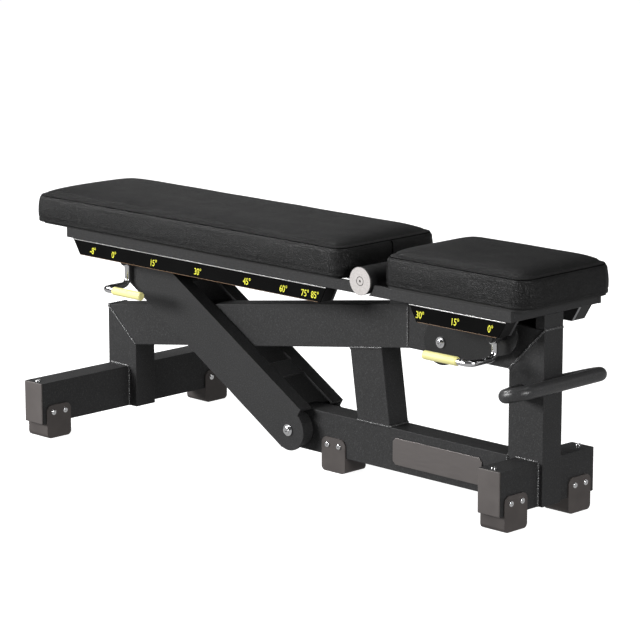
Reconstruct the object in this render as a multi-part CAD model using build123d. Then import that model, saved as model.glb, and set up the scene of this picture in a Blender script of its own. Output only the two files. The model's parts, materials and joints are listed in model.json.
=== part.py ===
from build123d import *
import math
import os

# Adjustable weight bench. Millimetres, +Z up, origin on the floor under the middle of the bench.
# +X is the seat end, -X the head end, -Y the side with the release levers.

# ---- frame tube ----
TUBE_H = 80.0
TUBE_HALF = 25.0
WALL = 3.0
FOOT_H = 30.0
LOW_TOP = FOOT_H + TUBE_H

# ---- frame outline in the XZ plane ----
REAR_X0 = -532.0
REAR_X1 = REAR_X0 + TUBE_H
REAR_TOP = 225.0
KINK_X = 276.0
BEAM_TOP = 344.0
BEAM_BOTTOM = BEAM_TOP - TUBE_H
FRONT_X0 = 515.0
FRONT_X1 = FRONT_X0 + TUBE_H
SLOPE = (BEAM_TOP - REAR_TOP) / (KINK_X - REAR_X0)
SLANT = math.atan(SLOPE)
DROP = TUBE_H / math.cos(SLANT)
MID_X0 = 152.0

# ---- crossbeams ----
REAR_CROSS_X = -498.0
FRONT_CROSS_X = 560.0
REAR_REACH = 250.0
FRONT_REACH = 126.0
CAP_T = 3.0

# ---- feet ----
TAB_T = 3.0
FOOT_LEN = 60.0
TAB_TOP = 65.0
FOOT_INSET = 11.0
MID_FOOT_X = 93.0
SCREW_Z = 51.0
SCREW_PITCH = 29.0
SCREW_R = 3.0
HEAD_R = 5.5
HEAD_H = 3.2

# ---- lifting handle: points of its run as (X, Y), on a plane that rises forwards ----
HANDLE_Z = 229.0
HANDLE_RISE = 0.28
HANDLE_ROOT = (540.0, 27.0)
HANDLE_CORNER = (588.0, 126.0)
HANDLE_FRONT = (618.0, 100.0)
HANDLE_R = 12.5
HANDLE_WALL = 2.5

# ---- hinge of the backrest ----
HINGE_X = 253.0
HINGE_Z = 396.0
SHAFT_R = 12.0
SLEEVE_R = 25.0
SLEEVE_BORE = 20.0
RUNNING = 0.05
HINGE_END = 125.0
BRACKET_Y0 = 19.0
BRACKET_Y1 = 25.0

# ---- pads and their carriers ----
PAD_BOTTOM = 396.0
PAD_EDGE = 449.0
PAD_CROWN = 462.5
CROWN_RUN = 75.0
CROWN_SPARE = 1.5
SPARE = 5.0
CORNER_R = 32.0
EDGE_R = 15.0
BOARD_T = 4.5
BACK_PAD_X = (-632.0, 211.0)
BACK_PAD_HALF = 133.5
SEAT_PAD_X = (294.0, 631.0)
SEAT_PAD_HALF = 123.0
RAIL_Y0 = 111.5
RAIL_Y1 = 119.5
RAIL_Z0 = 371.5
RAIL_Z1 = PAD_BOTTOM - BOARD_T
BACK_RAIL_X = (-543.0, HINGE_X)
SEAT_RAIL_X = (266.0, 600.0)
SLEEVE_GAP = 3.5
FRONT_BAR_T = 14.0

# ---- racks under the pads ----
RACK_Y0 = 80.0
RACK_Y1 = 86.0
COVER_Y1 = 112.0
SCALE_T = 3.0
RACK_BOTTOM = 340.0
COVER_WALL = 3.0
NOTCH_R = 7.4
NOTCH_DEPTH = 10.0
BACK_RACK = ((-530.0, RAIL_Z0), (160.0, RAIL_Z0), (144.0, RACK_BOTTOM), (-510.0, RACK_BOTTOM))
SEAT_RACK = ((361.0, RAIL_Z0), (586.0, RAIL_Z0), (567.0, RACK_BOTTOM), (379.0, RACK_BOTTOM))

# ---- support arm of the backrest ----
ARM_X = 5.0
ARM_Z = 70.0
ARM_TIP_X = -426.7
ARM_TIP_Z = 332.0
ARM_LOW = 40.0
ARM_HIGH = 53.5
ARM_END_R = 39.0
ARM_START = -4.0
ARM_Y0 = 52.0
ARM_Y1 = 57.0
ARM_SHAFT_R = 10.0
PIN_R = 7.0
PIN_REACH = 79.0
FLANGE_IN = 28.0
ARM_TRIM_Z = 345.0
ARM_TRIM_X = ARM_TIP_X - 16.0
TIE = (84.0, 125.0)
WEB_START = 372.0
ARM_LEN = math.hypot(ARM_TIP_X - ARM_X, ARM_TIP_Z - ARM_Z)
ARM_ANGLE = math.atan2(ARM_TIP_Z - ARM_Z, ARM_TIP_X - ARM_X)

# ---- seat slide and seat link ----
SLIDE_X = 298.0
SLIDE_Z = 368.0
SLIDE_TRAVEL = 70.0
SLIDE_R = 8.0
LINK_X = 374.0
LINK_Z = 292.0
LINK_TIP_X = 517.0
LINK_TIP_Z = 325.0
LINK_R = 41.0
LINK_TIP_R = 33.0
LINK_Y0 = 40.0
LINK_Y1 = 45.0
LINK_SHAFT_R = 9.0

# ---- release levers ----
ROD_R = 6.0
LEVER_Y = 66.0
GRIP_Y = 127.0
GRIP_R = 8.0
GRIP_RUN = (28.0, 108.0)
EYE_R = 10.0
EYE_HALF = 7.5
BACK_LEVER_Z = 286.0
SEAT_LEVER_Z = 289.0
LEVER_RUN = 103.0

PARTS = {}


def block(x0, x1, y0, y1, z0, z1):
    """A box from its corner values."""
    size = (x1 - x0, y1 - y0, z1 - z0)
    return Pos((x0 + x1) / 2, (y0 + y1) / 2, (z0 + z1) / 2) * Box(*size)


def slab(outline, y0, y1):
    """A sketch drawn in (X, Z), made solid from y0 to y1."""
    plane = Plane(origin=(0, y1, 0), x_dir=(1, 0, 0), z_dir=(0, -1, 0))
    return extrude(plane * outline, y1 - y0)


def shape(points):
    """A closed face through points given as (X, Z)."""
    return make_face(Polyline(*points, close=True))


def round_y(x, z, radius, y0, y1):
    """A cylinder along Y."""
    return Pos(x, (y0 + y1) / 2, z) * Rot(90, 0, 0) * Cylinder(radius, y1 - y0)


def disc(x, z, radius):
    """A round sketch at (X, Z)."""
    return Pos(x, z) * Circle(radius)


def mirrored(solid):
    """The same solid on the other side of the bench."""
    return solid.mirror(Plane.XZ)


def both(name, solid):
    """One node on each side, the given solid being the +Y one."""
    PARTS[name + "_left"] = solid
    PARTS[name + "_right"] = mirrored(solid)


def group(name, solids):
    """Several separate solids in one node."""
    PARTS[name] = Compound(children=list(solids))


def pair(name, solid):
    """A solid and its twin on the other side, in one node."""
    group(name, [solid, mirrored(solid)])


def button_screw(x, y, z, direction, shank):
    """A button-head screw whose head stands on the point and whose shank goes back from it."""
    face = Plane(origin=(x, y, z), z_dir=direction)
    head = extrude(Circle(HEAD_R), HEAD_H)
    head = fillet(head.edges().sort_by(Axis.Z)[-1], HEAD_H * 0.6)
    head -= Pos(0, 0, HEAD_H - 1.6) * extrude(RegularPolygon(2.0, 6), 2)
    stem = Pos(0, 0, -shank / 2) * Cylinder(SCREW_R, shank)
    return face * (head + stem)


def tube_member(low_a, high_a, low_b, high_b):
    """A hollow rectangular tube between two cut ends, each end given by its low and high corner."""
    outer = slab(shape([low_a, low_b, high_b, high_a]), -TUBE_HALF, TUBE_HALF)
    dx = low_b[0] - low_a[0]
    dz = low_b[1] - low_a[1]
    length = math.hypot(dx, dz)
    ux, uz = dx / length, dz / length
    nx, nz = -uz, ux
    reach = 150.0
    start = (low_a[0] - ux * reach + nx * WALL, low_a[1] - uz * reach + nz * WALL)
    run = length + 2 * reach
    inner_h = TUBE_H - 2 * WALL
    corners = [start,
               (start[0] + ux * run, start[1] + uz * run),
               (start[0] + ux * run + nx * inner_h, start[1] + uz * run + nz * inner_h),
               (start[0] + nx * inner_h, start[1] + nz * inner_h)]
    half = TUBE_HALF - WALL
    return outer - slab(shape(corners), -half, half)


def top_of_back_beam(x):
    return REAR_TOP + SLOPE * (x - REAR_X0)


# ---------------------------------------------------------------- frame
def frame():
    inner_z = top_of_back_beam(REAR_X1) - DROP
    PARTS["rear_post"] = tube_member((REAR_X1, FOOT_H), (REAR_X0, FOOT_H),
                                     (REAR_X1, inner_z), (REAR_X0, REAR_TOP))
    PARTS["back_beam"] = tube_member((REAR_X1, inner_z), (REAR_X0, REAR_TOP),
                                     (KINK_X, BEAM_TOP - DROP), (KINK_X, BEAM_TOP))
    seat_beam = tube_member((KINK_X, BEAM_BOTTOM), (KINK_X, BEAM_TOP),
                            (FRONT_X0, BEAM_BOTTOM), (FRONT_X1, BEAM_TOP))
    seat_beam -= round_y(LINK_X, LINK_Z, LINK_SHAFT_R, -TUBE_HALF, TUBE_HALF)
    PARTS["seat_beam"] = seat_beam
    PARTS["front_post"] = tube_member((FRONT_X1, FOOT_H), (FRONT_X0, FOOT_H),
                                      (FRONT_X1, BEAM_TOP), (FRONT_X0, BEAM_BOTTOM))
    middle_post()
    lower_beam()


def middle_post():
    """Short post between the two beams, square to the upper one."""
    lean = SLOPE * 1.0

    def at(x, z):
        return (x - lean * (z - LOW_TOP), z)

    def meet(x):
        z = (top_of_back_beam(x) - DROP + SLOPE * lean * LOW_TOP) / (1 + SLOPE * lean)
        return at(x, z)

    width = TUBE_H / math.cos(SLANT)
    low_left, low_right = at(MID_X0, LOW_TOP), at(MID_X0 + width, LOW_TOP)
    PARTS["middle_post"] = tube_member(low_right, low_left, meet(MID_X0 + width), meet(MID_X0))


def lower_beam():
    """Floor beam with a full-round free end that carries the arm's pivot."""
    outline = Pos((ARM_X + FRONT_X0) / 2, ARM_Z) * Rectangle(FRONT_X0 - ARM_X, TUBE_H)
    outline += disc(ARM_X, ARM_Z, TUBE_H / 2)
    beam = slab(outline, -TUBE_HALF, TUBE_HALF)
    half = TUBE_HALF - WALL
    beam -= block(ARM_X + 25, FRONT_X0, -half, half, FOOT_H + WALL, LOW_TOP - WALL)
    beam -= round_y(ARM_X, ARM_Z, ARM_SHAFT_R, -TUBE_HALF, TUBE_HALF)
    PARTS["lower_beam"] = beam


def crossbeam(name, x, reach):
    """One half of a crossbeam, butted against the post and closed with an end cap."""
    end = reach - CAP_T
    outer = block(x - TUBE_HALF, x + TUBE_HALF, TUBE_HALF, end, FOOT_H, LOW_TOP)
    half = TUBE_HALF - WALL
    outer -= block(x - half, x + half, TUBE_HALF, end, FOOT_H + WALL, LOW_TOP - WALL)
    screw_y = reach - 13.0
    outer -= Pos(x, screw_y, LOW_TOP) * Cylinder(SCREW_R, 4 * WALL)
    both(name, outer)
    cap = block(x - TUBE_HALF, x + TUBE_HALF, end, reach, FOOT_H, LOW_TOP)
    screw = button_screw(x, screw_y, LOW_TOP, (0, 0, 1), WALL)
    return [cap, mirrored(cap)], [screw, mirrored(screw)]


# ---------------------------------------------------------------- feet
def foot_profile():
    """Side view of a foot: square block with rounded lower corners and rounder tabs."""
    half = FOOT_LEN / 2
    outline = shape([(-half, 0), (half, 0), (half, TAB_TOP), (-half, TAB_TOP)])
    corners = outline.vertices().sort_by(Axis.Y)
    outline = fillet(corners[2:], 13.0)
    low = outline.vertices().filter_by(lambda v: v.Y < 1.0)
    return fillet(low, 9.0)


def foot_and_screws():
    """A foot as a cradle under a beam that runs along X, centred on the origin, with its screws."""
    reach = TUBE_HALF + TAB_T
    foot = slab(foot_profile(), -reach, reach)
    foot -= block(-FOOT_LEN, FOOT_LEN, -TUBE_HALF, TUBE_HALF, FOOT_H, 2 * TAB_TOP)
    screws = []
    for side in (-1, 1):
        for end in (-1, 1):
            x = end * SCREW_PITCH / 2
            foot -= round_y(x, SCREW_Z, SCREW_R, -reach, reach)
            screws.append(button_screw(x, side * reach, SCREW_Z, (0, side, 0), TAB_T))
    return foot, screws


def feet(cap_screws):
    foot, screws = foot_and_screws()
    placed = list(cap_screws)
    rear_y = REAR_REACH - FOOT_INSET - FOOT_LEN / 2
    front_y = FRONT_REACH - FOOT_INSET - FOOT_LEN / 2
    places = {"foot_rear_left": Pos(REAR_CROSS_X, rear_y, 0) * Rot(0, 0, 90),
              "foot_rear_right": Pos(REAR_CROSS_X, -rear_y, 0) * Rot(0, 0, 90),
              "foot_front_left": Pos(FRONT_CROSS_X, front_y, 0) * Rot(0, 0, 90),
              "foot_front_right": Pos(FRONT_CROSS_X, -front_y, 0) * Rot(0, 0, 90),
              "foot_middle": Pos(MID_FOOT_X, 0, 0)}
    for name, place in places.items():
        PARTS[name] = place * foot
        placed += [place * screw for screw in screws]
    group("frame_screws", placed)


# ---------------------------------------------------------------- handle, rest and badge
def handle():
    """Lifting loop round the front post, rising towards its front bar."""
    def at(x, y):
        return (x, y, HANDLE_Z + (x - HANDLE_ROOT[0]) * HANDLE_RISE)

    half = [HANDLE_ROOT, HANDLE_CORNER, HANDLE_FRONT]
    route = [at(x, -y) for x, y in half] + [at(x, y) for x, y in reversed(half)]
    path = FilletPolyline(*route, radius=[21.0, 24.0, 24.0, 21.0])
    start = Plane(origin=path @ 0, z_dir=path % 0)
    loop = sweep(start * (Circle(HANDLE_R) - Circle(HANDLE_R - HANDLE_WALL)), path=path)
    post = block(FRONT_X0, FRONT_X1, -TUBE_HALF, TUBE_HALF, HANDLE_Z - 2 * HANDLE_R, HANDLE_Z + 2 * HANDLE_R)
    PARTS["lift_handle"] = loop - post


def post_plugs():
    """Plates that close the open lower ends of the two posts."""
    half = TUBE_HALF - WALL
    posts = ((REAR_X0, REAR_X1), (FRONT_X0, FRONT_X1))
    return [block(x0 + WALL, x1 - WALL, -half, half, FOOT_H, FOOT_H + CAP_T) for x0, x1 in posts]


def small_base_parts():
    PARTS["seat_rest_block"] = block(573, 595, -TUBE_HALF, TUBE_HALF, BEAM_TOP, RAIL_Z0 - 0.3)
    plate = Pos(349.5, 68) * Rectangle(215, 50)
    plate = chamfer(plate.vertices(), 7.0)
    PARTS["badge_plate"] = slab(plate, -TUBE_HALF - 2.0, -TUBE_HALF)


# ---------------------------------------------------------------- backrest hinge
def hinge():
    """Two brackets on top of the beam, the shaft through them, and the sleeves that turn on it."""
    left = HINGE_X - 22.0
    right = SLIDE_X + SLIDE_TRAVEL + 24.0
    outline = shape([(left, top_of_back_beam(left)), (KINK_X, BEAM_TOP), (right, BEAM_TOP),
                     (right, SLIDE_Z + 14.0), (HINGE_X + 22.0, SLIDE_Z + 14.0), (left, HINGE_Z)])
    outline += disc(HINGE_X, HINGE_Z, 24.0)
    slot_x = SLIDE_X + SLIDE_TRAVEL / 2
    gap = SLIDE_R + 0.3
    slot = Pos(slot_x, SLIDE_Z) * SlotCenterToCenter(SLIDE_TRAVEL, 2 * gap)
    bracket = slab(outline - disc(HINGE_X, HINGE_Z, SHAFT_R) - slot, BRACKET_Y0, BRACKET_Y1)
    pair("hinge_brackets", bracket)

    cap_y = HINGE_END - CAP_T
    PARTS["hinge_shaft"] = round_y(HINGE_X, HINGE_Z, SHAFT_R, -cap_y + 1, cap_y - 1)
    sleeve_y = BRACKET_Y1 + 1.0
    sleeve = round_y(HINGE_X, HINGE_Z, SLEEVE_R, sleeve_y, cap_y)
    sleeve -= round_y(HINGE_X, HINGE_Z, SLEEVE_BORE, sleeve_y, cap_y)
    pair("hinge_sleeves", sleeve)
    bushes = []
    for y0, y1 in ((sleeve_y, sleeve_y + 18), (cap_y - 20, cap_y - 2)):
        bush = round_y(HINGE_X, HINGE_Z, SLEEVE_BORE, y0, y1)
        bush -= round_y(HINGE_X, HINGE_Z, SHAFT_R + RUNNING, y0, y1)
        bushes += [bush, mirrored(bush)]
    group("hinge_bushes", bushes)
    cap = round_y(HINGE_X, HINGE_Z, SLEEVE_R + 0.5, cap_y, HINGE_END)
    cap -= round_y(HINGE_X, HINGE_Z, 2.2, HINGE_END - 1.5, HINGE_END)
    ring = round_y(HINGE_X, HINGE_Z, 8.4, HINGE_END - 0.6, HINGE_END)
    ring -= round_y(HINGE_X, HINGE_Z, 7.4, HINGE_END - 0.6, HINGE_END)
    cap -= ring
    pair("hinge_caps", cap)


# ---------------------------------------------------------------- pads
def crowned(lo, hi, crown):
    """Side view of a pad: flat foot, upright sides, round edges and a slow rise to the crown."""
    low, high = lo + EDGE_R, hi - EDGE_R
    rise = crown - PAD_EDGE
    curve = [Line((lo, PAD_BOTTOM), (lo, PAD_EDGE - EDGE_R)),
             RadiusArc((lo, PAD_EDGE - EDGE_R), (low, PAD_EDGE), EDGE_R),
             Spline((low, PAD_EDGE), (low + CROWN_RUN, crown), tangents=[(4 * rise, rise), (1, 0)]),
             Line((low + CROWN_RUN, crown), (high - CROWN_RUN, crown)),
             Spline((high - CROWN_RUN, crown), (high, PAD_EDGE), tangents=[(1, 0), (4 * rise, -rise)]),
             RadiusArc((high, PAD_EDGE), (hi, PAD_EDGE - EDGE_R), EDGE_R),
             Line((hi, PAD_EDGE - EDGE_R), (hi, PAD_BOTTOM)),
             Line((hi, PAD_BOTTOM), (lo, PAD_BOTTOM))]
    return make_face(curve)


def pad(x0, x1, half):
    """Crowned pad: the common volume of its plan, with round corners, and its two side views."""
    middle = (x0 + x1) / 2
    plan = Pos(middle, 0, PAD_BOTTOM) * extrude(RectangleRounded(x1 - x0, 2 * half, CORNER_R), 90)
    along = slab(crowned(x0, x1, PAD_CROWN + CROWN_SPARE), -half - SPARE, half + SPARE)
    plane = Plane(origin=(x0 - SPARE, 0, 0), x_dir=(0, 1, 0), z_dir=(1, 0, 0))
    across = extrude(plane * crowned(-half, half, PAD_CROWN), x1 - x0 + 2 * SPARE)
    return plan & along & across


def rack_parts(name, outline, notches):
    """Toothed bar, hollow cover and printed scale plate, one set on each side."""
    bar = shape(outline)
    for x, z in notches:
        bar -= Pos(x, z) * Circle(NOTCH_R)
        bar -= Pos(x, (z + RACK_BOTTOM - 20) / 2) * Rectangle(2 * NOTCH_R, z - RACK_BOTTOM + 20)
    pair(name + "_racks", slab(bar, RACK_Y0, RACK_Y1))
    (a, top), (b, _), (c, bottom), (d, _) = outline
    cover = slab(shape(outline), RACK_Y1, COVER_Y1)
    w = COVER_WALL
    hollow = shape([(a + 2 * w, top - w), (b - 2 * w, top - w), (c - w, bottom + w), (d + w, bottom + w)])
    cover -= slab(hollow, RACK_Y1, COVER_Y1 - w)
    pair(name + "_rack_covers", cover)
    pair(name + "_scale_plates", slab(shape(outline), COVER_Y1, COVER_Y1 + SCALE_T))


def rail(x0, x1):
    return block(x0, x1, RAIL_Y0, RAIL_Y1, RAIL_Z0, RAIL_Z1)


def turned(x, z, angle, cx, cz):
    """The point (x, z) turned about (cx, cz), positive angles raising the -X side."""
    c, s = math.cos(angle), math.sin(angle)
    dx, dz = x - cx, z - cz
    return cx + dx * c + dz * s, cz - dx * s + dz * c


def back_notch(angle_deg):
    """Where the arm's tip pin meets the rack line with the backrest at an angle."""
    angle = math.radians(angle_deg)
    low, high = BACK_RACK[3][0] - 60, BACK_RACK[2][0] + 60
    for _ in range(60):
        x = (low + high) / 2
        px, pz = turned(x, ARM_TIP_Z, angle, HINGE_X, HINGE_Z)
        if math.hypot(px - ARM_X, pz - ARM_Z) > ARM_LEN:
            low = x
        else:
            high = x
    return x


def backrest():
    x0, x1 = BACK_PAD_X
    PARTS["back_pad"] = pad(x0, x1, BACK_PAD_HALF)
    board = Pos((x0 + x1) / 2, 0, RAIL_Z1) * RectangleRounded(x1 - x0 - 22, 2 * BACK_PAD_HALF - 22, 24)
    PARTS["back_board"] = extrude(board, BOARD_T)
    sleeve = round_y(HINGE_X, HINGE_Z, SLEEVE_R, -HINGE_END, HINGE_END)
    pair("back_rails", rail(*BACK_RAIL_X) - sleeve)
    rails_x0 = BACK_RAIL_X[0]
    PARTS["back_head_bar"] = block(rails_x0, rails_x0 + 6, -RAIL_Y0, RAIL_Y0, RAIL_Z0, RAIL_Z1)
    bars = [block(x, x + 40, -RAIL_Y0, RAIL_Y0, RAIL_Z1 - 6, RAIL_Z1) for x in (-330.0, -90.0)]
    group("back_cross_bars", bars)
    marks = (-8, 0, 15, 30, 45, 60, 75, 85)
    rack_parts("back", BACK_RACK, [(back_notch(a), RACK_BOTTOM + NOTCH_DEPTH) for a in marks])


def seat():
    x0, x1 = SEAT_PAD_X
    PARTS["seat_pad"] = pad(x0, x1, SEAT_PAD_HALF)
    board = Pos((x0 + x1) / 2, 0, RAIL_Z1) * RectangleRounded(x1 - x0 - 12, 2 * SEAT_PAD_HALF - 6, 28)
    PARTS["seat_board"] = extrude(board, BOARD_T)
    room = round_y(HINGE_X, HINGE_Z, SLEEVE_R + SLEEVE_GAP, -HINGE_END, HINGE_END)
    pair("seat_rails", rail(*SEAT_RAIL_X) - room)
    end = SEAT_RAIL_X[1]
    PARTS["seat_front_bar"] = block(end - FRONT_BAR_T, end, -RAIL_Y0, RAIL_Y0, RAIL_Z0, RAIL_Z1)
    lug = shape([(SLIDE_X - 12, SLIDE_Z), (SLIDE_X + 12, SLIDE_Z), (SLIDE_X + 20, RAIL_Z1),
                 (SLIDE_X - 4, RAIL_Z1)]) + disc(SLIDE_X, SLIDE_Z, 13.0)
    pair("seat_lugs", slab(lug - disc(SLIDE_X, SLIDE_Z, SLIDE_R + RUNNING), 27.0, 33.0))
    rack_parts("seat", SEAT_RACK, [(x, RACK_BOTTOM + NOTCH_DEPTH) for x in (410.0, 464.0, 517.0)])


def seat_carriage():
    pin = round_y(SLIDE_X, SLIDE_Z, SLIDE_R, -36.0, 36.0)
    PARTS["seat_slide_pin"] = pin
    washers = []
    for y0, y1 in ((BRACKET_Y1 + 0.3, 26.7), (33.3, 35.3)):
        washer = round_y(SLIDE_X, SLIDE_Z, SLIDE_R + 4.5, y0, y1)
        washer -= round_y(SLIDE_X, SLIDE_Z, SLIDE_R, y0, y1)
        washers += [washer, mirrored(washer)]
    group("seat_slide_washers", washers)


# ---------------------------------------------------------------- support arm
def along_arm(t, offset):
    """A point at distance t from the pivot and at an offset towards the arm's upper edge."""
    c, s = math.cos(ARM_ANGLE), math.sin(ARM_ANGLE)
    return ARM_X + t * c + offset * s, ARM_Z + t * s - offset * c


def arm_strip(t0, t1, o0, o1):
    """A straight strip of the arm's side view."""
    return shape([along_arm(t0, o0), along_arm(t1, o0), along_arm(t1, o1), along_arm(t0, o1)])


def support_arm():
    """Folded sheet arm: two side plates with inturned flanges, joined by a low tie and a web at the head."""
    long = ARM_LEN + 120
    thick = ARM_Y1 - ARM_Y0
    fold = ARM_HIGH - thick
    keep = shape([(ARM_TRIM_X, 0), (150, 0), (150, ARM_TRIM_Z), (ARM_TRIM_X, ARM_TRIM_Z)])
    plate = arm_strip(ARM_START, long, -ARM_LOW, ARM_HIGH) + disc(ARM_X, ARM_Z, ARM_END_R)
    plate &= keep
    plate -= disc(ARM_X, ARM_Z, ARM_SHAFT_R + RUNNING)
    plate -= disc(ARM_TIP_X, ARM_TIP_Z, PIN_R)
    flange = arm_strip(ARM_START, long, fold, ARM_HIGH) & keep
    side = slab(plate, ARM_Y0, ARM_Y1) + slab(flange, FLANGE_IN, ARM_Y0)
    pair("arm_sides", side)
    hub = round_y(ARM_X, ARM_Z, 34.0, TUBE_HALF + 0.4, ARM_Y0)
    hub -= round_y(ARM_X, ARM_Z, ARM_SHAFT_R + RUNNING, TUBE_HALF + 0.4, ARM_Y0)
    pair("arm_hubs", hub)
    PARTS["arm_tie"] = slab(arm_strip(*TIE, fold, ARM_HIGH), -FLANGE_IN, FLANGE_IN)
    web = arm_strip(WEB_START, long, fold, ARM_HIGH) & keep
    PARTS["arm_web"] = slab(web, -FLANGE_IN, FLANGE_IN)
    PARTS["arm_tip_pin"] = round_y(ARM_TIP_X, ARM_TIP_Z, PIN_R, -PIN_REACH, PIN_REACH)


def pivot_set(name, x, z, radius, outer_y, washer_r, head_r):
    """A fixed pivot shaft with a washer and a socket screw on each end."""
    PARTS[name + "_shaft"] = round_y(x, z, radius, -outer_y - 0.4, outer_y + 0.4)
    y = outer_y + 0.4
    washer = round_y(x, z, washer_r, y, y + 2.0)
    head = round_y(x, z, head_r, y + 2.0, y + 7.0)
    head = fillet(head.edges().sort_by(Axis.Y)[-1], 1.5)
    socket = Plane(origin=(x, y + 8.0, z), z_dir=(0, -1, 0)) * RegularPolygon(head_r * 0.5, 6)
    screw = washer + head - extrude(socket, 4.0)
    pair(name + "_screws", screw)


# ---------------------------------------------------------------- seat link
def seat_link():
    reach = math.hypot(LINK_TIP_X - LINK_X, LINK_TIP_Z - LINK_Z)
    tilt = math.degrees(math.atan2(LINK_TIP_Z - LINK_Z, LINK_TIP_X - LINK_X))
    lean = math.asin((LINK_R - LINK_TIP_R) / reach)
    ends = []
    for side in (1, -1):
        direction = math.radians(tilt) + side * (math.pi / 2 - lean)
        c, s = math.cos(direction), math.sin(direction)
        ends.append(((LINK_X + LINK_R * c, LINK_Z + LINK_R * s),
                     (LINK_TIP_X + LINK_TIP_R * c, LINK_TIP_Z + LINK_TIP_R * s)))
    body = shape([ends[0][0], ends[0][1], ends[1][1], ends[1][0]])
    plate = body + disc(LINK_X, LINK_Z, LINK_R) + disc(LINK_TIP_X, LINK_TIP_Z, LINK_TIP_R)
    plate -= disc(LINK_X, LINK_Z, LINK_SHAFT_R + RUNNING)
    plate -= disc(LINK_TIP_X, LINK_TIP_Z, PIN_R)
    spacer_x, spacer_z, spacer_r = 486.0, 352.0 + 1.0, 6.0
    pair("seat_link_plates", slab(plate - disc(spacer_x, spacer_z, spacer_r), LINK_Y0, LINK_Y1))
    hub = round_y(LINK_X, LINK_Z, 30.0, TUBE_HALF + 0.4, LINK_Y0)
    hub -= round_y(LINK_X, LINK_Z, LINK_SHAFT_R + RUNNING, TUBE_HALF + 0.4, LINK_Y0)
    pair("seat_link_hubs", hub)
    PARTS["seat_link_spacer"] = round_y(spacer_x, spacer_z, spacer_r, -LINK_Y1, LINK_Y1)
    stub = round_y(LINK_TIP_X, LINK_TIP_Z, PIN_R, LINK_Y0, PIN_REACH)
    pair("seat_link_pins", stub)


# ---------------------------------------------------------------- release levers
def release_lever(name, x, z, low_z, direction):
    """Bent rod hanging from an eye on the tip pin, with a hand grip along X at its end."""
    route = [(x, -LEVER_Y, z - EYE_R + 2), (x, -LEVER_Y, low_z), (x, -GRIP_Y, low_z),
             (x + direction * LEVER_RUN, -GRIP_Y, low_z)]
    path = FilletPolyline(*route, radius=13.0)
    section = Plane(origin=path @ 0, z_dir=path % 0) * Circle(ROD_R)
    rod = sweep(section, path=path)
    eye = round_y(x, z, EYE_R, -LEVER_Y - EYE_HALF, -LEVER_Y + EYE_HALF)
    lever = rod + eye
    lever -= round_y(x, z, PIN_R + RUNNING, -LEVER_Y - EYE_HALF - 1, -LEVER_Y + EYE_HALF + 1)
    PARTS[name + "_rod"] = lever
    start = x + direction * GRIP_RUN[0]
    end = x + direction * GRIP_RUN[1]
    grip = Pos((start + end) / 2, -GRIP_Y, low_z) * Rot(0, 90, 0) * Cylinder(GRIP_R, abs(end - start))
    grip = fillet(grip.edges(), 3.0)
    rod_end = x + direction * LEVER_RUN
    hole = Pos((start + rod_end) / 2, -GRIP_Y, low_z) * Rot(0, 90, 0) * Cylinder(ROD_R, abs(rod_end - start))
    PARTS[name + "_grip"] = grip - hole


frame()
rear_caps, rear_screws = crossbeam("rear_crossbeam", REAR_CROSS_X, REAR_REACH)
front_caps, front_screws = crossbeam("front_crossbeam", FRONT_CROSS_X, FRONT_REACH)
group("crossbeam_end_caps", rear_caps + front_caps + post_plugs())
feet(rear_screws + front_screws)
handle()
small_base_parts()
hinge()
backrest()
seat()
seat_carriage()
support_arm()
pivot_set("arm_pivot", ARM_X, ARM_Z, ARM_SHAFT_R, ARM_Y1, 11.0, 7.5)
pivot_set("seat_link_pivot", LINK_X, LINK_Z, LINK_SHAFT_R, LINK_Y1, 10.0, 6.0)
seat_link()
release_lever("back_lever", ARM_TIP_X, ARM_TIP_Z, BACK_LEVER_Z, 1)
release_lever("seat_lever", LINK_TIP_X, LINK_TIP_Z, SEAT_LEVER_Z, -1)

os.makedirs("parts", exist_ok=True)
for node, solid in PARTS.items():
    export_step(solid, f"parts/{node}.step")
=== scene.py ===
"""Visual model of an adjustable weight bench, built round its CAD nodes. Lengths are in metres."""
import json
import math

import bmesh
import bpy
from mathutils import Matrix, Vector


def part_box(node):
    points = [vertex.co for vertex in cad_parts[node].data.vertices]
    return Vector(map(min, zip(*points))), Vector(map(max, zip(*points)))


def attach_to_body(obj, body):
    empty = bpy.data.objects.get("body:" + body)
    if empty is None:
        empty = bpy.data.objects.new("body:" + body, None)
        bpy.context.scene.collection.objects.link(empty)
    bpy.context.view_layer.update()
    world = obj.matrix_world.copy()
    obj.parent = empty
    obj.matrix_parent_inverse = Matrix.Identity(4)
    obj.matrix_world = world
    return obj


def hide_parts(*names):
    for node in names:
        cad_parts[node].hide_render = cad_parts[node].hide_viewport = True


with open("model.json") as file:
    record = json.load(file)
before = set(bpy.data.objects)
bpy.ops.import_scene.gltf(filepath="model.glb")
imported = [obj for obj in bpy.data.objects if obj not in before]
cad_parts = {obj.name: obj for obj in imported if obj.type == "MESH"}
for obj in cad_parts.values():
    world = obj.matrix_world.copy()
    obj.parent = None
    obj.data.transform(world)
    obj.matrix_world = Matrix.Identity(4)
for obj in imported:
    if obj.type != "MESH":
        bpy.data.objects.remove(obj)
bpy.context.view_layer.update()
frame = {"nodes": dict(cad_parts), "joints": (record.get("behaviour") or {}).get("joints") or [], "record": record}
NODES = frame["nodes"]
MM = 0.001
SIDES = ((-1, "right"), (1, "left"))

# ---------------------------------------------------------------- dimensions
# rounding of the edges of the CAD nodes, by material slot
ROUNDING = {
    "frame_paint": 2.2 * MM,
    "satin_black": 1.2 * MM,
    "foot_rubber": 1.2 * MM,
    "cap_plastic": 1.4 * MM,
    "rack_black": 0.8 * MM,
    "gloss_black": 0.5 * MM,
    "badge": 0.6 * MM,
}
# clean-up of the CAD meshes before their edges are rounded
SAME_POINT = 0.00002
SAME_PLANE = math.radians(0.4)
SHARP_EDGE = math.radians(50)
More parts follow.
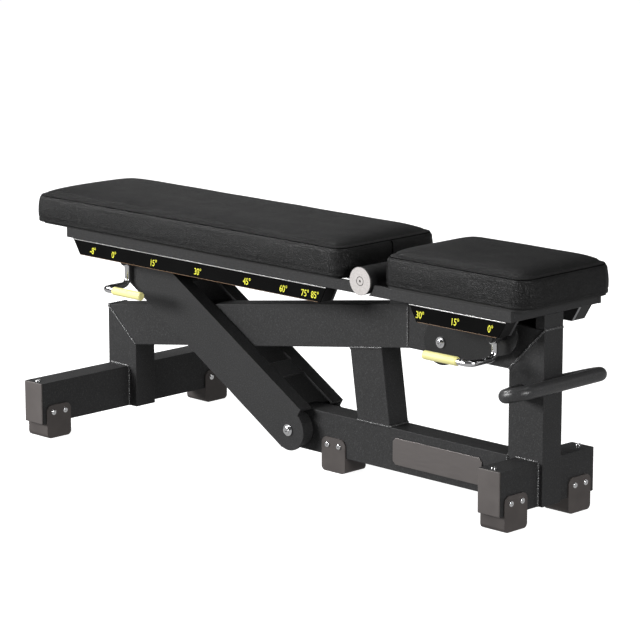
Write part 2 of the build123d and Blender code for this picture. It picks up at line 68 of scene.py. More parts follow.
# radius of the aluminium end discs
DISC_R = 0.0255

# pads: radius of the corners in plan, radius of the shoulder, rise of the crown above the shoulder
PAD_CORNER = 0.032
PAD_SHOULDER = 0.013
PAD_RISE = 0.0135
# swell of the sides, where on its curve the foot starts, and how full the curve is
PAD_BELLY = 0.0022
BELLY_START = 0.15
BELLY_FULLNESS = 0.8
# mesh steps round the pad, up its side, over its shoulder and across its top
OUTLINE_POINTS = 560
SIDE_STEPS = 12
SHOULDER_STEPS = 8
TOP_STEPS = 29
# groove near the foot, and height of the slow waves of the cover
HEM_Z = 0.006
HEM_WIDTH = 0.0012
HEM_DEPTH = 0.0012
SIDE_WAVE = 0.0007
TOP_WAVE = 0.0006
# seam round the shoulder, and closing seam up one end
SEAM_R = 0.0008
SEAM_PITCH = 0.008
SEAM_SINK = 0.0001
SEAM_LEAN = math.radians(52)
CLOSING_R = 0.0009
CLOSING_PITCH = 0.004
CLOSING_PROUD = 0.0003
CLOSING_Y = 0.004
CLOSING_LIFT = 0.002
CLOSING_STEPS = 4

# angle scales: label, node, body, drop of the numbers below the strip's middle, place of each number along x
SCALES = (
    ("back", "back_scale_plates", "backrest", 0.004,
     {"-8": -0.4715, "0": -0.411, "15": -0.2985, "30": -0.176, "45": -0.044, "60": 0.051,
      "75": 0.1065, "85": 0.1314}),
    ("seat", "seat_scale_plates", "seat", 0.0028, {"30": 0.3875, "15": 0.469, "0": 0.550}),
)
# lean of the strips' ends, and the two painted light lines: top line (painted reflection of the studio on the
# strip's top ledge) measured down, low line (painted highlight on the strip's lower edge) measured up
STRIP_SLOPE = 0.62
LINE_T = 0.0006
LINE_ROUNDING = 0.2 * MM
TOP_REFLECTION_INSET = 0.001
TOP_REFLECTION_Z = (0.0032, 0.0017)
LOW_HIGHLIGHT_INSET = 0.002
LOW_HIGHLIGHT_Z = (0.0002, 0.0011)
NUMBER_H = 0.0178
NUMBER_SQUEEZE = 0.8
NUMBER_SLANT = 0.12
NUMBER_T = 0.00012
NUMBER_BOLD = 0.0001
NUMBER_PROUD = 0.0003

# beads and threads; welds sink a little into the tubes and start just inside their corners
BEAD_SIDES = 8
END_TAPER = 0.35
WELD_R = 0.0027
WELD_PITCH = 0.0046
WELD_RIPPLE = 0.32
WELD_SINK = 0.0006
INSET = 0.001

# studio
FLOOR_HALF = 15.0
SCENE_MIDDLE = (0, 0, 0.3)
EYE = (3.7978, -3.8219, 1.4223)
EYE_TARGET = (0.0313, 0.0, 0.2739)
LENS_MM = 166.95
SENSOR_MM = 36.0


def joint(name):
    """The frame's entry for one joint."""
    return next(entry for entry in frame["joints"] if entry["name"] == name)


# ---------------------------------------------------------------- node helpers for materials
def new_material(name):
    """An empty material with its output and its shader."""
    material = bpy.data.materials.new(name)
    material.use_nodes = True
    tree = material.node_tree
    tree.nodes.clear()
    out = tree.nodes.new("ShaderNodeOutputMaterial")
    shader = tree.nodes.new("ShaderNodeBsdfPrincipled")
    tree.links.new(shader.outputs[0], out.inputs[0])
    return material, tree, shader


def coords(tree, stretch=(1, 1, 1)):
    """Object coordinates, scaled along each axis."""
    source = tree.nodes.new("ShaderNodeTexCoord")
    mapping = tree.nodes.new("ShaderNodeMapping")
    mapping.inputs["Scale"].default_value = stretch
    tree.links.new(source.outputs["Object"], mapping.inputs[0])
    return mapping.outputs[0]


def noise(tree, vector, scale, detail=2.0, rough=0.5):
    """A 0..1 noise signal."""
    node = tree.nodes.new("ShaderNodeTexNoise")
    node.inputs["Scale"].default_value = scale
    node.inputs["Detail"].default_value = detail
    node.inputs["Roughness"].default_value = rough
    tree.links.new(vector, node.inputs["Vector"])
    return node.outputs["Fac"]


def ramp(tree, fac, stops):
    """A colour ramp with the given (position, colour) stops."""
    node = tree.nodes.new("ShaderNodeValToRGB")
    elements = node.color_ramp.elements
    while len(elements) < len(stops):
        elements.new(0.5)
    for element, (position, colour) in zip(elements, stops):
        element.position = position
        element.color = (*colour, 1.0)
    tree.links.new(fac, node.inputs[0])
    return node.outputs[0]


def spread(tree, fac, low, high):
    """A 0..1 signal mapped to low..high."""
    node = tree.nodes.new("ShaderNodeMapRange")
    node.inputs["To Min"].default_value = low
    node.inputs["To Max"].default_value = high
    tree.links.new(fac, node.inputs["Value"])
    return node.outputs[0]


def colour_mix(tree, first, second, mode="MIX", factor=None):
    """Two colours joined by a signal, or in full where there is none."""
    node = tree.nodes.new("ShaderNodeMix")
    node.data_type = "RGBA"
    node.blend_type = mode
    if factor is None:
        node.inputs[0].default_value = 1.0
    else:
        tree.links.new(factor, node.inputs[0])
    tree.links.new(first, node.inputs[6])
    tree.links.new(second, node.inputs[7])
    return node.outputs[2]


def bump(tree, height, strength, distance, below=None):
    """A bumped normal, on top of another where one is given."""
    node = tree.nodes.new("ShaderNodeBump")
    node.inputs["Strength"].default_value = strength
    node.inputs["Distance"].default_value = distance
    tree.links.new(height, node.inputs["Height"])
    if below is not None:
        tree.links.new(below, node.inputs["Normal"])
    return node.outputs[0]


def vector_math(tree, operation, vector, constant=None):
    """A vector operation, with a constant second operand where it takes one."""
    node = tree.nodes.new("ShaderNodeVectorMath")
    node.operation = operation
    tree.links.new(vector, node.inputs[0])
    if constant is not None:
        node.inputs[1].default_value = constant
    return node.outputs["Value" if operation == "LENGTH" else "Vector"]


def grey(value):
    return (value, value, value)


def cool(value):
    """A grey with a trace of blue."""
    return (value, value, value * 1.02)


# ---------------------------------------------------------------- materials
def powder_coat(name, dark, light, rough, gloss=0.25):
    """Fine textured powder coat: tiny orange-peel grains over a slightly uneven colour."""
    material, tree, shader = new_material(name)
    place = coords(tree)
    grains = noise(tree, place, 900.0)
    cloud = noise(tree, place, 14.0, detail=3.0)
    speckle = noise(tree, place, 420.0, rough=0.7)
    low = ramp(tree, speckle, [(0.35, cool(dark * 0.7)), (0.6, cool(dark * 1.1)), (0.75, cool(light * 1.9))])
    high = ramp(tree, speckle, [(0.35, cool(light * 0.75)), (0.6, cool(light)), (0.75, cool(light * 2.1))])
    tree.links.new(colour_mix(tree, low, high, factor=cloud), shader.inputs["Base Color"])
    tree.links.new(spread(tree, grains, rough - 0.08, rough + 0.1), shader.inputs["Roughness"])
    tree.links.new(bump(tree, grains, strength=0.5, distance=0.0005), shader.inputs["Normal"])
    shader.inputs["Specular IOR Level"].default_value = gloss
    return material


def leather():
    """Black upholstery: pebble grain, light specks, faint creases and a soft sheen."""
    material, tree, shader = new_material("upholstery")
    place = coords(tree)
    cells = tree.nodes.new("ShaderNodeTexVoronoi")
    cells.feature = "DISTANCE_TO_EDGE"
    cells.inputs["Scale"].default_value = 420.0
    tree.links.new(place, cells.inputs["Vector"])
    pebbles = ramp(tree, cells.outputs["Distance"], [(0.0, grey(0.0)), (0.28, grey(1.0))])
    creases = noise(tree, place, 26.0, detail=4.0, rough=0.6)
    cloud = noise(tree, place, 7.0)
    grit = noise(tree, place, 340.0, detail=3.0, rough=0.7)
    specks = ramp(tree, grit, [(0.38, grey(0.3)), (0.52, grey(1.0)), (0.66, grey(2.6))])
    tone = ramp(tree, cloud, [(0.25, cool(0.0035)), (0.75, cool(0.0065))])
    tree.links.new(colour_mix(tree, tone, specks, "MULTIPLY"), shader.inputs["Base Color"])
    tree.links.new(spread(tree, creases, 0.36, 0.52), shader.inputs["Roughness"])
    soft = bump(tree, creases, strength=0.2, distance=0.0015)
    tree.links.new(bump(tree, pebbles, strength=0.6, distance=0.0007, below=soft), shader.inputs["Normal"])
    shader.inputs["Specular IOR Level"].default_value = 0.25
    return material


def metal(name, colour, rough, stretch=(1, 1, 1), scale=400.0):
    """Bare metal with fine brush lines stretched along an axis."""
    material, tree, shader = new_material(name)
    lines = noise(tree, coords(tree, stretch), scale)
    shader.inputs["Base Color"].default_value = (*colour, 1.0)
    shader.inputs["Metallic"].default_value = 1.0
    tree.links.new(spread(tree, lines, rough * 0.75, rough * 1.3), shader.inputs["Roughness"])
    tree.links.new(bump(tree, lines, strength=0.25, distance=0.0001), shader.inputs["Normal"])
    return material


def turned_aluminium():
    """Lathe-turned face: fine rings round the hinge axis, and painted shade in dark bands at the centre mark, in a
    ring groove and round the rim.
    """
    material, tree, shader = new_material("turned_aluminium")
    place = coords(tree)
    offset = vector_math(tree, "SUBTRACT", place, Vector(joint("back_tilt")["pos_m"]))
    off_axis = vector_math(tree, "MULTIPLY", offset, (1, 0, 1))
    distance = vector_math(tree, "LENGTH", off_axis)
    rings = tree.nodes.new("ShaderNodeTexNoise")
    rings.noise_dimensions = "1D"
    rings.inputs["Scale"].default_value = 1500.0
    tree.links.new(distance, rings.inputs["W"])
    speckle = noise(tree, place, 700.0)
    face = ramp(tree, speckle, [(0.3, (0.44, 0.415, 0.405)), (0.7, (0.58, 0.555, 0.54))])
    radius = tree.nodes.new("ShaderNodeMapRange")
    radius.inputs["From Max"].default_value = DISC_R
    tree.links.new(distance, radius.inputs["Value"])
    # painted shade: dark bands darken the centre mark, the ring groove and the rim, where these recesses and the
    # edge would lie in shade
    dark, bright = grey(0.12), grey(1.0)
    marks = ramp(tree, radius.outputs[0], [(0.07, dark), (0.09, bright), (0.28, bright), (0.295, dark),
                                           (0.33, dark), (0.345, bright), (0.96, bright), (1.0, dark)])
    tree.links.new(colour_mix(tree, face, marks, "MULTIPLY"), shader.inputs["Base Color"])
    shader.inputs["Metallic"].default_value = 0.55
    shader.inputs["Roughness"].default_value = 0.5
    tree.links.new(bump(tree, rings.outputs["Fac"], strength=0.3, distance=0.0002), shader.inputs["Normal"])
    return material


def moulded(name, dark, light, rough, gloss=0.4, grain=500.0):
    """Moulded plastic or rubber with a faint skin texture."""
    material, tree, shader = new_material(name)
    place = coords(tree)
    skin = noise(tree, place, grain)
    cloud = noise(tree, place, 22.0)
    tree.links.new(ramp(tree, cloud, [(0.3, dark), (0.7, light)]), shader.inputs["Base Color"])
    tree.links.new(spread(tree, skin, rough - 0.05, rough + 0.08), shader.inputs["Roughness"])
    tree.links.new(bump(tree, skin, strength=0.2, distance=0.0003), shader.inputs["Normal"])
    shader.inputs["Specular IOR Level"].default_value = gloss
    return material


def chrome():
    """Chrome plate with a faint smear in its polish."""
    material, tree, shader = new_material("chrome_plate")
    smear = noise(tree, coords(tree), 60.0)
    shader.inputs["Base Color"].default_value = (0.95, 0.95, 0.96, 1.0)
    shader.inputs["Metallic"].default_value = 1.0
    tree.links.new(spread(tree, smear, 0.05, 0.13), shader.inputs["Roughness"])
    return material


def printed(name, colour):
    """Screen-printed ink, a little uneven in its gloss."""
    material, tree, shader = new_material(name)
    speck = noise(tree, coords(tree), 900.0)
    shader.inputs["Base Color"].default_value = (*colour, 1.0)
    tree.links.new(spread(tree, speck, 0.35, 0.5), shader.inputs["Roughness"])
    return material


FRAME_PAINT = powder_coat("anthracite_coat", 0.026, 0.033, 0.52)
SATIN_BLACK = powder_coat("satin_black_coat", 0.010, 0.014, 0.38, gloss=0.35)
# painted highlight: the weld beads get a coat lighter than the frame's so that they read as glinting
WELD_COAT_PAINTED_GLINT = powder_coat("weld_coat_painted_glint", 0.05, 0.08, 0.22, gloss=0.8)
# painted light: the lift handle gets a lighter, glossier copy of the dark coat, brighter for the highlights it
# catches
HANDLE_COAT_PAINTED_LIGHT = powder_coat("handle_coat_painted_light", 0.034, 0.044, 0.32, gloss=0.6)
LEATHER = leather()
THREAD = moulded("seam_thread", grey(0.001), grey(0.002), 0.9, gloss=0.02)
SLOTS = {
    "frame_paint": FRAME_PAINT,
    "satin_black": SATIN_BLACK,
    "foot_rubber": moulded("foot_rubber_skin", (0.060, 0.052, 0.050), (0.078, 0.068, 0.064), 0.55),
    "cap_plastic": moulded("cap_plastic_skin", (0.085, 0.075, 0.072), (0.105, 0.094, 0.090), 0.5),
    "leather": LEATHER,
    "board": moulded("black_board", grey(0.006), grey(0.010), 0.6),
    "aluminium": turned_aluminium(),
    "chrome": chrome(),
    "steel": metal("ground_steel", (0.42, 0.42, 0.43), 0.35),
    "gloss_black": moulded("gloss_black_strip", grey(0.001), grey(0.002), 0.12, gloss=0.15),
    "rack_black": moulded("rack_cover_skin", grey(0.008), grey(0.012), 0.4),
    "grip_yellow": moulded("yellow_vinyl", (0.83, 0.77, 0.30), (0.90, 0.85, 0.38), 0.42, grain=300.0),
    "badge": metal("badge_plate_metal", (0.19, 0.175, 0.17), 0.42, stretch=(8, 1, 400), scale=3.0),
    "bush": moulded("bush_plastic", (0.5, 0.48, 0.42), (0.55, 0.53, 0.47), 0.5),
}
# painted reflection: a bright metal line along the top of each scale strip stands in for the studio's reflection
# on its top ledge
PAINTED_TOP_REFLECTION = metal("scale_strip_top_painted_reflection", (0.78, 0.77, 0.76), 0.3)
# painted highlight: a warm brown line along the bottom of each scale strip stands in for the highlight on its
# lower edge
PAINTED_LOW_HIGHLIGHT = printed("scale_strip_low_painted_highlight", (0.16, 0.085, 0.035))
NUMBER_INK = printed("yellow_ink", (0.90, 0.88, 0.06))


def dress_nodes():
    """Gives every CAD node the material of its slot, the lift handle a lighter copy of the coat with painted
    light, and softens the edges of the sheet and tube parts.
    """
    slots = {entry["node"]: entry["material_slot"] for entry in frame["record"]["subparts"]}
    for name, node in NODES.items():
        slot = slots[name]
        node.data.materials.clear()
        node.data.materials.append(HANDLE_COAT_PAINTED_LIGHT if name == "lift_handle" else SLOTS[slot])
        if slot not in ROUNDING:
            continue
        weld = node.modifiers.new("weld", "WELD")
        weld.merge_threshold = SAME_POINT
        flat = node.modifiers.new("flat", "DECIMATE")
        flat.decimate_type = "DISSOLVE"
        flat.angle_limit = SAME_PLANE
        bevel = node.modifiers.new("bevel", "BEVEL")
        bevel.width = ROUNDING[slot]
        bevel.segments = 3
        bevel.limit_method = "ANGLE"
        bevel.angle_limit = SHARP_EDGE
        normals = node.modifiers.new("normals", "WEIGHTED_NORMAL")
        normals.weight = 100


# ---------------------------------------------------------------- mesh helpers
def add_mesh(name, verts, faces, material, smooth=True):
    """An object in the scene with a mesh of its own."""
    mesh = bpy.data.meshes.new(name)
    mesh.from_pydata([tuple(v) for v in verts], [], faces)
    mesh.validate()
    piece = bpy.data.objects.new(name, mesh)
    bpy.context.collection.objects.link(piece)
    mesh.materials.append(material)
    for polygon in mesh.polygons:
        polygon.use_smooth = smooth
    return piece


def attach(piece, body):
    """Rides a piece on a body."""
    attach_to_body(piece, body)


def loft(rings, cap_start=False, cap_end=False, wrap=False):
    """Vertices and faces of a surface through closed rings; wrap joins the last ring to the first."""
    verts = [v for ring in rings for v in ring]
    count = len(rings[0])
    faces = []
    for r in range(len(rings) if wrap else len(rings) - 1):
        here, there = r * count, (r + 1) % len(rings) * count
        for i in range(count):
            j = (i + 1) % count
            faces.append((here + i, here + j, there + j, there + i))
    if cap_start:
        faces.append(tuple(reversed(range(count))))
    if cap_end:
        faces.append(tuple(range((len(rings) - 1) * count, len(rings) * count)))
    return verts, faces


def stations(points, step, closed):
    """Points no further than about a step apart along a line or a closed loop."""
    ends = points[1:] + points[:1] if closed else points[1:]
    dense = []
    for a, b in zip(points, ends):
        count = max(1, int((b - a).length / step))
        dense += [a.lerp(b, i / count) for i in range(count)]
    if not closed:
        dense.append(points[-1])
    return dense


def tube(name, points, radius, material, pitch, ripple=0.0, closed=False):
    """A round bead along points; a ripple swells its radius once each pitch, as a weld's does."""
    off_axis = Vector((0.31, 0.52, 0.79))
    stray = 911.0
    dense = stations([Vector(p) for p in points], pitch / 3 if ripple else pitch, closed)
    count = len(dense)
    rings = []
    run = 0.0
    for i, p in enumerate(dense):
        before = dense[i - 1] if (i or closed) else p
        after = dense[(i + 1) % count] if (i < count - 1 or closed) else p
        direction = (after - before).normalized()
        side = direction.cross(off_axis).normalized()
        other = direction.cross(side)
        run += (p - before).length
        swell = 1.0 + ripple * math.sin(run / pitch * 2 * math.pi) + ripple * 0.5 * math.sin(run * stray)
        if not closed and i in (0, count - 1):
            swell *= END_TAPER
        turns = [2 * math.pi * k / BEAD_SIDES for k in range(BEAD_SIDES)]
        rings.append([p + (side * math.cos(a) + other * math.sin(a)) * radius * swell for a in turns])
    verts, faces = loft(rings, not closed, not closed, closed)
    return add_mesh(name, verts, faces, material)


def bar(name, lo, hi, material):
    """A thin strip of metal or ink shader with rounded edges, for the painted highlight lines on the scale strips.
    """
    verts = [(x, y, z) for z in (lo[2], hi[2]) for y in (lo[1], hi[1]) for x in (lo[0], hi[0])]
    faces = [(0, 2, 3, 1), (4, 5, 7, 6), (0, 1, 5, 4), (2, 6, 7, 3), (0, 4, 6, 2), (1, 3, 7, 5)]
    piece = add_mesh(name, verts, faces, material, smooth=False)
    bevel = piece.modifiers.new("bevel", "BEVEL")
    bevel.width = LINE_ROUNDING
    bevel.segments = 2
    return piece


# ---------------------------------------------------------------- pads
def rounded_outline(cx, half_x, half_y):
    """Evenly spaced points and outward normals round a rounded rectangle, from the middle of its +x side."""
    ax, ay = half_x - PAD_CORNER, half_y - PAD_CORNER
    start = Vector((cx + ax, 0.0))
    centres = [Vector((cx + sx * ax, sy * ay)) for sx, sy in ((1, 1), (-1, 1), (-1, -1), (1, -1))]
    # legs of the way round: length, corner circle's centre at start and end, normal's angle at start and end
    arc = PAD_CORNER * math.pi / 2
    legs = []
    before = start
    for quarter, centre in enumerate(centres):
        legs.append(((centre - before).length, before, centre, 90 * quarter, 90 * quarter))
        legs.append((arc, centre, centre, 90 * quarter, 90 * (quarter + 1)))
        before = centre
    legs.append(((start - before).length, before, start, 360, 360))
    total = sum(leg[0] for leg in legs)
    outline = []
    for i in range(OUTLINE_POINTS):
        along = total * i / OUTLINE_POINTS
        for length, from_centre, to_centre, from_turn, to_turn in legs:
            if along <= length:
                break
            along -= length
        share = along / length
        turn = math.radians(from_turn + (to_turn - from_turn) * share)
        normal = Vector((math.cos(turn), math.sin(turn)))
        outline.append((from_centre.lerp(to_centre, share) + normal * PAD_CORNER, normal))
    return outline


def soft_wave(x, y, seed):
    """A slow, uneven swell of tensioned upholstery, from -1 to 1."""
    return (math.sin(x * 21.0 + seed) * math.sin(y * 27.0 + seed * 2.0)
            + 0.6 * math.sin(x * 47.0 + y * 31.0 + seed * 3.0)) / 1.6


def make_pad(name, node, body, seed, rise_run, closing_side=0):
    """A tight, crowned pad with a seam round its shoulder and a groove at its foot.

    The crown rises over rise_run from the edges. A closing seam runs up the middle of the end that
    closing_side names: 1 for the +x end, -1 for the -x end, 0 for none.
    """
    lo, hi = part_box(node)
    cx = (lo[0] + hi[0]) / 2
    half_x, half_y = (hi[0] - lo[0]) / 2, (hi[1] - lo[1]) / 2
    bottom, crown = lo[2], hi[2]
    shoulder_top = crown - PAD_RISE
    side_top = shoulder_top - PAD_SHOULDER
    spine_half = half_x - (half_y - PAD_BELLY)
    outline = rounded_outline(cx, half_x - PAD_BELLY, half_y - PAD_BELLY)

    def side_point(p, n, share):
        z = bottom + (side_top - bottom) * share
        fullness = math.sin(math.pi * (BELLY_START + (1 - BELLY_START) * share)) ** BELLY_FULLNESS
        swell = PAD_BELLY * fullness
        swell -= HEM_DEPTH * math.exp(-((z - bottom - HEM_Z) / HEM_WIDTH) ** 2)
        swell += SIDE_WAVE * soft_wave(p.x, p.y + z * 2, seed)
        return Vector((*(p + n * swell), z))

    def shoulder_point(p, n, turn, sink=0.0):
        flat = p - n * (PAD_SHOULDER * (1 - math.cos(turn)) - sink)
        return Vector((*flat, side_top + PAD_SHOULDER * math.sin(turn)))

    def top_point(p, n, share):
        inner = p - n * PAD_SHOULDER
        spine = Vector((min(max(inner.x, cx - spine_half), cx + spine_half), 0.0))
        flat = inner.lerp(spine, share)
        gap_x = max(half_x - abs(flat.x - cx) - PAD_SHOULDER, 0.0)
        gap_y = max(half_y - abs(flat.y) - PAD_SHOULDER, 0.0)
        rise = (1 - math.exp(-gap_x / rise_run)) * (1 - math.exp(-gap_y / rise_run))
        wave = TOP_WAVE * soft_wave(flat.x, flat.y, seed + 1.0)
        return Vector((*flat, shoulder_top + (PAD_RISE + wave) * rise))

    rings = [[side_point(p, n, k / SIDE_STEPS) for p, n in outline] for k in range(SIDE_STEPS + 1)]
    for k in range(1, SHOULDER_STEPS + 1):
        rings.append([shoulder_point(p, n, math.radians(90 * k / SHOULDER_STEPS)) for p, n in outline])
    for k in range(1, TOP_STEPS + 1):
        rings.append([top_point(p, n, k / TOP_STEPS) for p, n in outline])
    verts, faces = loft(rings, cap_start=True)
    cover = add_mesh(name, verts, faces, LEATHER)
    work = bmesh.new()
    work.from_mesh(cover.data)
    bmesh.ops.remove_doubles(work, verts=work.verts, dist=1e-5)
    bmesh.ops.dissolve_degenerate(work, edges=work.edges, dist=1e-6)
    bmesh.ops.recalc_face_normals(work, faces=work.faces)
    work.to_mesh(cover.data)
    work.free()
    attach(cover, body)
    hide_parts(node)

    seam = [shoulder_point(p, n, SEAM_LEAN, SEAM_SINK) for p, n in outline[::2]]
    attach(tube(name + "_seam", seam, SEAM_R, THREAD, SEAM_PITCH, closed=True), body)
    if closing_side:
        foot = Vector((cx + closing_side * (half_x + CLOSING_PROUD), CLOSING_Y))
        outward = Vector((closing_side, 0.0))
        line = [Vector((*foot, bottom + CLOSING_LIFT)), Vector((*foot, side_top))]
        for k in range(1, CLOSING_STEPS + 1):
            line.append(shoulder_point(foot, outward, SEAM_LEAN * k / CLOSING_STEPS))
        closing = tube(name + "_closing_seam", line, CLOSING_R, THREAD, CLOSING_PITCH)
        attach(closing, body)


# ---------------------------------------------------------------- scale strips
def paint_strip_highlights(node, body, name):
    """Painted light on both scale strips: a light line along the top as a painted reflection of the studio on
    their top ledge, and a warm line along the bottom as a painted highlight on their lower edge.
    """
    lo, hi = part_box(node)
    low_inset = (hi[2] - lo[2]) * STRIP_SLOPE + LOW_HIGHLIGHT_INSET
    for side, tag in SIDES:
        face = side * hi[1]
        near, far = sorted((face, face + side * LINE_T))
        # painted reflection of the studio on the strip's top ledge
        top = bar(f"{name}_top_line_{tag}", (lo[0] + TOP_REFLECTION_INSET, near, hi[2] - TOP_REFLECTION_Z[0]),
                  (hi[0] - TOP_REFLECTION_INSET, far, hi[2] - TOP_REFLECTION_Z[1]), PAINTED_TOP_REFLECTION)
        # painted highlight on the strip's lower edge
        low = bar(f"{name}_low_line_{tag}", (lo[0] + low_inset, near, lo[2] + LOW_HIGHLIGHT_Z[0]),
                  (hi[0] - low_inset, far, lo[2] + LOW_HIGHLIGHT_Z[1]), PAINTED_LOW_HIGHLIGHT)
        attach(top, body)
        attach(low, body)


def number(text, name, x, z, y_face, side, body):
    """One printed number on the outer face of a strip."""
    curve = bpy.data.curves.new(name, "FONT")
    curve.body = text
    curve.size = NUMBER_H
    curve.align_x = "CENTER"
    curve.align_y = "CENTER"
    curve.extrude = NUMBER_T
    curve.offset = NUMBER_BOLD
    curve.shear = NUMBER_SLANT
    maker = bpy.data.objects.new(name + "_maker", curve)
    bpy.context.collection.objects.link(maker)
    bpy.context.view_layer.update()
    mesh = bpy.data.meshes.new_from_object(maker)
    bpy.data.objects.remove(maker)
    for v in mesh.vertices:
        across, up, out = v.co
        v.co = (x - side * across * NUMBER_SQUEEZE, y_face + side * (NUMBER_PROUD + out), z + up)
    if side > 0:
        mesh.flip_normals()
    mesh.materials.append(NUMBER_INK)
    piece = bpy.data.objects.new(name, mesh)
    bpy.context.collection.objects.link(piece)
    attach(piece, body)


def numbers():
    """The degrees of each scale, on both sides of the bench."""
    for label, node, body, drop, marks in SCALES:
        lo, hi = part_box(node)
        z = (lo[2] + hi[2]) / 2 - drop
        for text, x in marks.items():
            plain = text.replace("-", "minus_")
            for side, tag in SIDES:
                number(text + "°", f"{label}_mark_{plain}_{tag}", x, z, side * hi[1], side, body)


# ---------------------------------------------------------------- welds
def weld_lines():
    """Both ends of each bead along the joints of the frame tubes."""
    beam_lo, beam_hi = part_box("back_beam")
    rear_lo, rear_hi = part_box("rear_post")
    seat_lo, seat_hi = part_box("seat_beam")
    post_lo, post_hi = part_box("front_post")
    mid_lo, mid_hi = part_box("middle_post")
    low_lo, low_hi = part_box("lower_beam")
    y = beam_hi[1] - WELD_SINK
    tube_h = seat_hi[2] - seat_lo[2]
    slope = (beam_hi[2] - rear_hi[2]) / (beam_hi[0] - beam_lo[0])
    cut_h = tube_h * math.sqrt(1 + slope * slope)
    rear_inner_z = rear_hi[2] + slope * tube_h - cut_h
    rear_x = rear_lo[0] + INSET
    front_x = post_hi[0] - INSET
    mid_feet = (mid_hi[0] - cut_h, mid_hi[0])
    mid_top_x = mid_lo[0] + tube_h

    def across(x, z):
        return [(x, -y, z), (x, y, z)]

    lines = []
    for side, _ in SIDES:
        s = side * y
        foot_y = side * (y + INSET)
        foot_z = (low_hi[2] - 2 * INSET, low_lo[2] + 2 * INSET)
        lines.append([(rear_x, s, rear_hi[2] - INSET), (rear_hi[0], s, rear_inner_z)])
        lines.append([(seat_lo[0], s, seat_hi[2] - INSET), (seat_lo[0], s, seat_hi[2] - cut_h)])
        lines.append([(post_lo[0], s, seat_lo[2]), (front_x, s, post_hi[2] - INSET)])
        lines.append([(post_lo[0], foot_y, z) for z in foot_z])
    lines.append(across(front_x, post_hi[2] - INSET / 2))
    lines.append(across(rear_x, rear_hi[2] - INSET / 2))
    for side, _ in SIDES:
        s = side * y
        lines.append([(mid_feet[0], s, mid_lo[2]), (mid_feet[1], s, mid_lo[2])])
        lines.append([(mid_lo[0], s, mid_hi[2] - slope * tube_h), (mid_top_x, s, mid_hi[2])])
    lines += [across(x, mid_lo[2]) for x in mid_feet]
    lines.append(across(post_lo[0], low_hi[2]))
    for cross in ("rear_crossbeam_left", "front_crossbeam_left"):
        lo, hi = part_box(cross)
        for side, _ in SIDES:
            s = side * (lo[1] + WELD_SINK)
            lines.append([(lo[0], s, hi[2]), (hi[0], s, hi[2])])
            lines.append([(hi[0], s, hi[2]), (hi[0], s, lo[2])])
            lines.append([(lo[0], s, hi[2]), (lo[0], s, lo[2])])
    return lines


def frame_welds():
    """Rippled weld beads on the frame, in a lighter coat that paints their glints."""
    for index, line in enumerate(weld_lines()):
        bead = tube(f"weld_bead_{index:02d}", line, WELD_R, WELD_COAT_PAINTED_GLINT, WELD_PITCH, WELD_RIPPLE)
        attach(bead, "base")


# ---------------------------------------------------------------- studio
def floor():
    """White floor that glows evenly."""
    material, tree, shader = new_material("pale_floor")
    cloud = noise(tree, coords(tree), 0.7)
    tree.links.new(ramp(tree, cloud, [(0.2, grey(0.55)), (0.8, grey(0.58))]), shader.inputs["Base Color"])
    shader.inputs["Roughness"].default_value = 0.95
    shader.inputs["Specular IOR Level"].default_value = 0.0
    shader.inputs["Emission Color"].default_value = (1, 1, 1, 1)
    shader.inputs["Emission Strength"].default_value = 0.95
    h = FLOOR_HALF
    verts = [(-h, -h, 0), (h, -h, 0), (h, h, 0), (-h, h, 0)]
    sheet = add_mesh("floor", verts, [(0, 1, 2, 3)], material, smooth=False)
    sheet.visible_diffuse = False
    sheet.visible_glossy = False


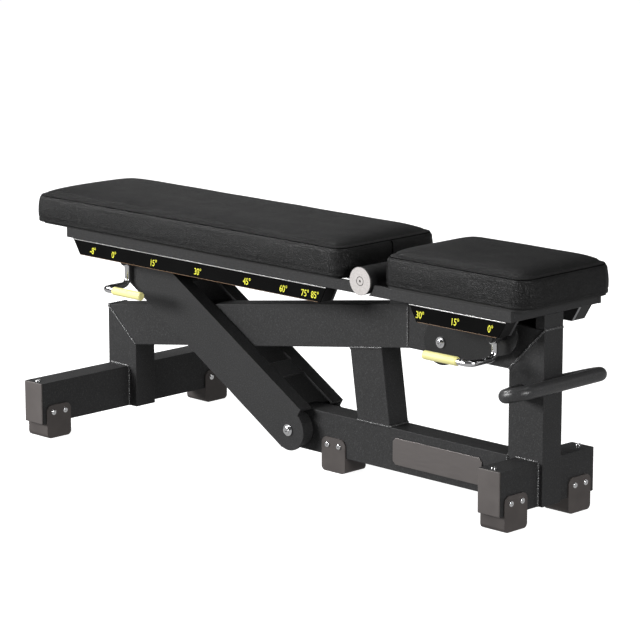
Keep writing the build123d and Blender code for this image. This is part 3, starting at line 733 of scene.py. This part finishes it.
def air():
    """White backdrop, and for the light on the object a pale ground and a dim sky."""
    world = bpy.data.worlds.new("studio_air")
    world.use_nodes = True
    tree = world.node_tree
    light = tree.nodes["Background"]
    backdrop = tree.nodes.new("ShaderNodeBackground")
    backdrop.inputs[0].default_value = (1, 1, 1, 1)
    for background in (light, backdrop):
        background.inputs[1].default_value = 1.0
    place = tree.nodes.new("ShaderNodeTexCoord")
    split = tree.nodes.new("ShaderNodeSeparateXYZ")
    tree.links.new(place.outputs["Generated"], split.inputs[0])
    height = spread(tree, split.outputs["Z"], 0.5, 1.0)
    level = ramp(tree, height, [(0.48, grey(0.52)), (0.54, grey(0.05)),
                                (0.75, grey(0.06)), (1.0, grey(0.12))])
    tree.links.new(level, light.inputs[0])
    path = tree.nodes.new("ShaderNodeLightPath")
    mix = tree.nodes.new("ShaderNodeMixShader")
    tree.links.new(path.outputs["Is Camera Ray"], mix.inputs[0])
    tree.links.new(light.outputs[0], mix.inputs[1])
    tree.links.new(backdrop.outputs[0], mix.inputs[2])
    tree.links.new(mix.outputs[0], tree.nodes["World Output"].inputs[0])
    bpy.context.scene.world = world


def aim(thing, place, target):
    """Puts a lamp or camera at a place, looking at a target."""
    thing.location = place
    thing.rotation_euler = (Vector(target) - Vector(place)).to_track_quat("-Z", "Y").to_euler()
    bpy.context.collection.objects.link(thing)


def area_light(name, place, size, power, target=SCENE_MIDDLE):
    """A soft rectangular lamp."""
    data = bpy.data.lights.new(name, "AREA")
    data.shape = "RECTANGLE"
    data.size, data.size_y = size
    data.energy = power
    aim(bpy.data.objects.new(name, data), place, target)


def lamps():
    """Soft studio lamps round the bench."""
    area_light("key_left", (-1.9, -3.4, 1.5), (2.2, 1.2), 190.0)
    area_light("top_soft", (0.2, 0.6, 3.4), (2.6, 1.6), 30.0)
    area_light("edge_left", (-2.7, -0.9, 2.8), (0.9, 0.9), 75.0)
    area_light("fill_front", (3.6, -0.8, 1.1), (1.0, 1.0), 58.0)
    area_light("rim_right", (2.8, 2.6, 1.7), (1.0, 1.6), 5.0, target=(0.4, 0, 0.3))
    area_light("rim_back", (-2.6, 2.2, 1.6), (1.2, 1.4), 3.0, target=(-0.3, 0, 0.3))


def camera():
    """The long-lens view from the seat end, near side."""
    data = bpy.data.cameras.new("camera")
    data.lens = LENS_MM
    data.sensor_width = SENSOR_MM
    data.clip_end = 100.0
    eye = bpy.data.objects.new("camera", data)
    aim(eye, EYE, EYE_TARGET)
    bpy.context.scene.camera = eye


camera()
floor()
air()
lamps()
dress_nodes()
make_pad("back_pad_cover", "back_pad", "backrest", seed=0.4, rise_run=0.018, closing_side=1)
make_pad("seat_pad_cover", "seat_pad", "seat", seed=2.1, rise_run=0.013)
for scale_label, scale_node, scale_body, *_ in SCALES:
    paint_strip_highlights(scale_node, scale_body, scale_label + "_strip")
numbers()
frame_welds()
bpy.context.scene.view_settings.view_transform = "Standard"
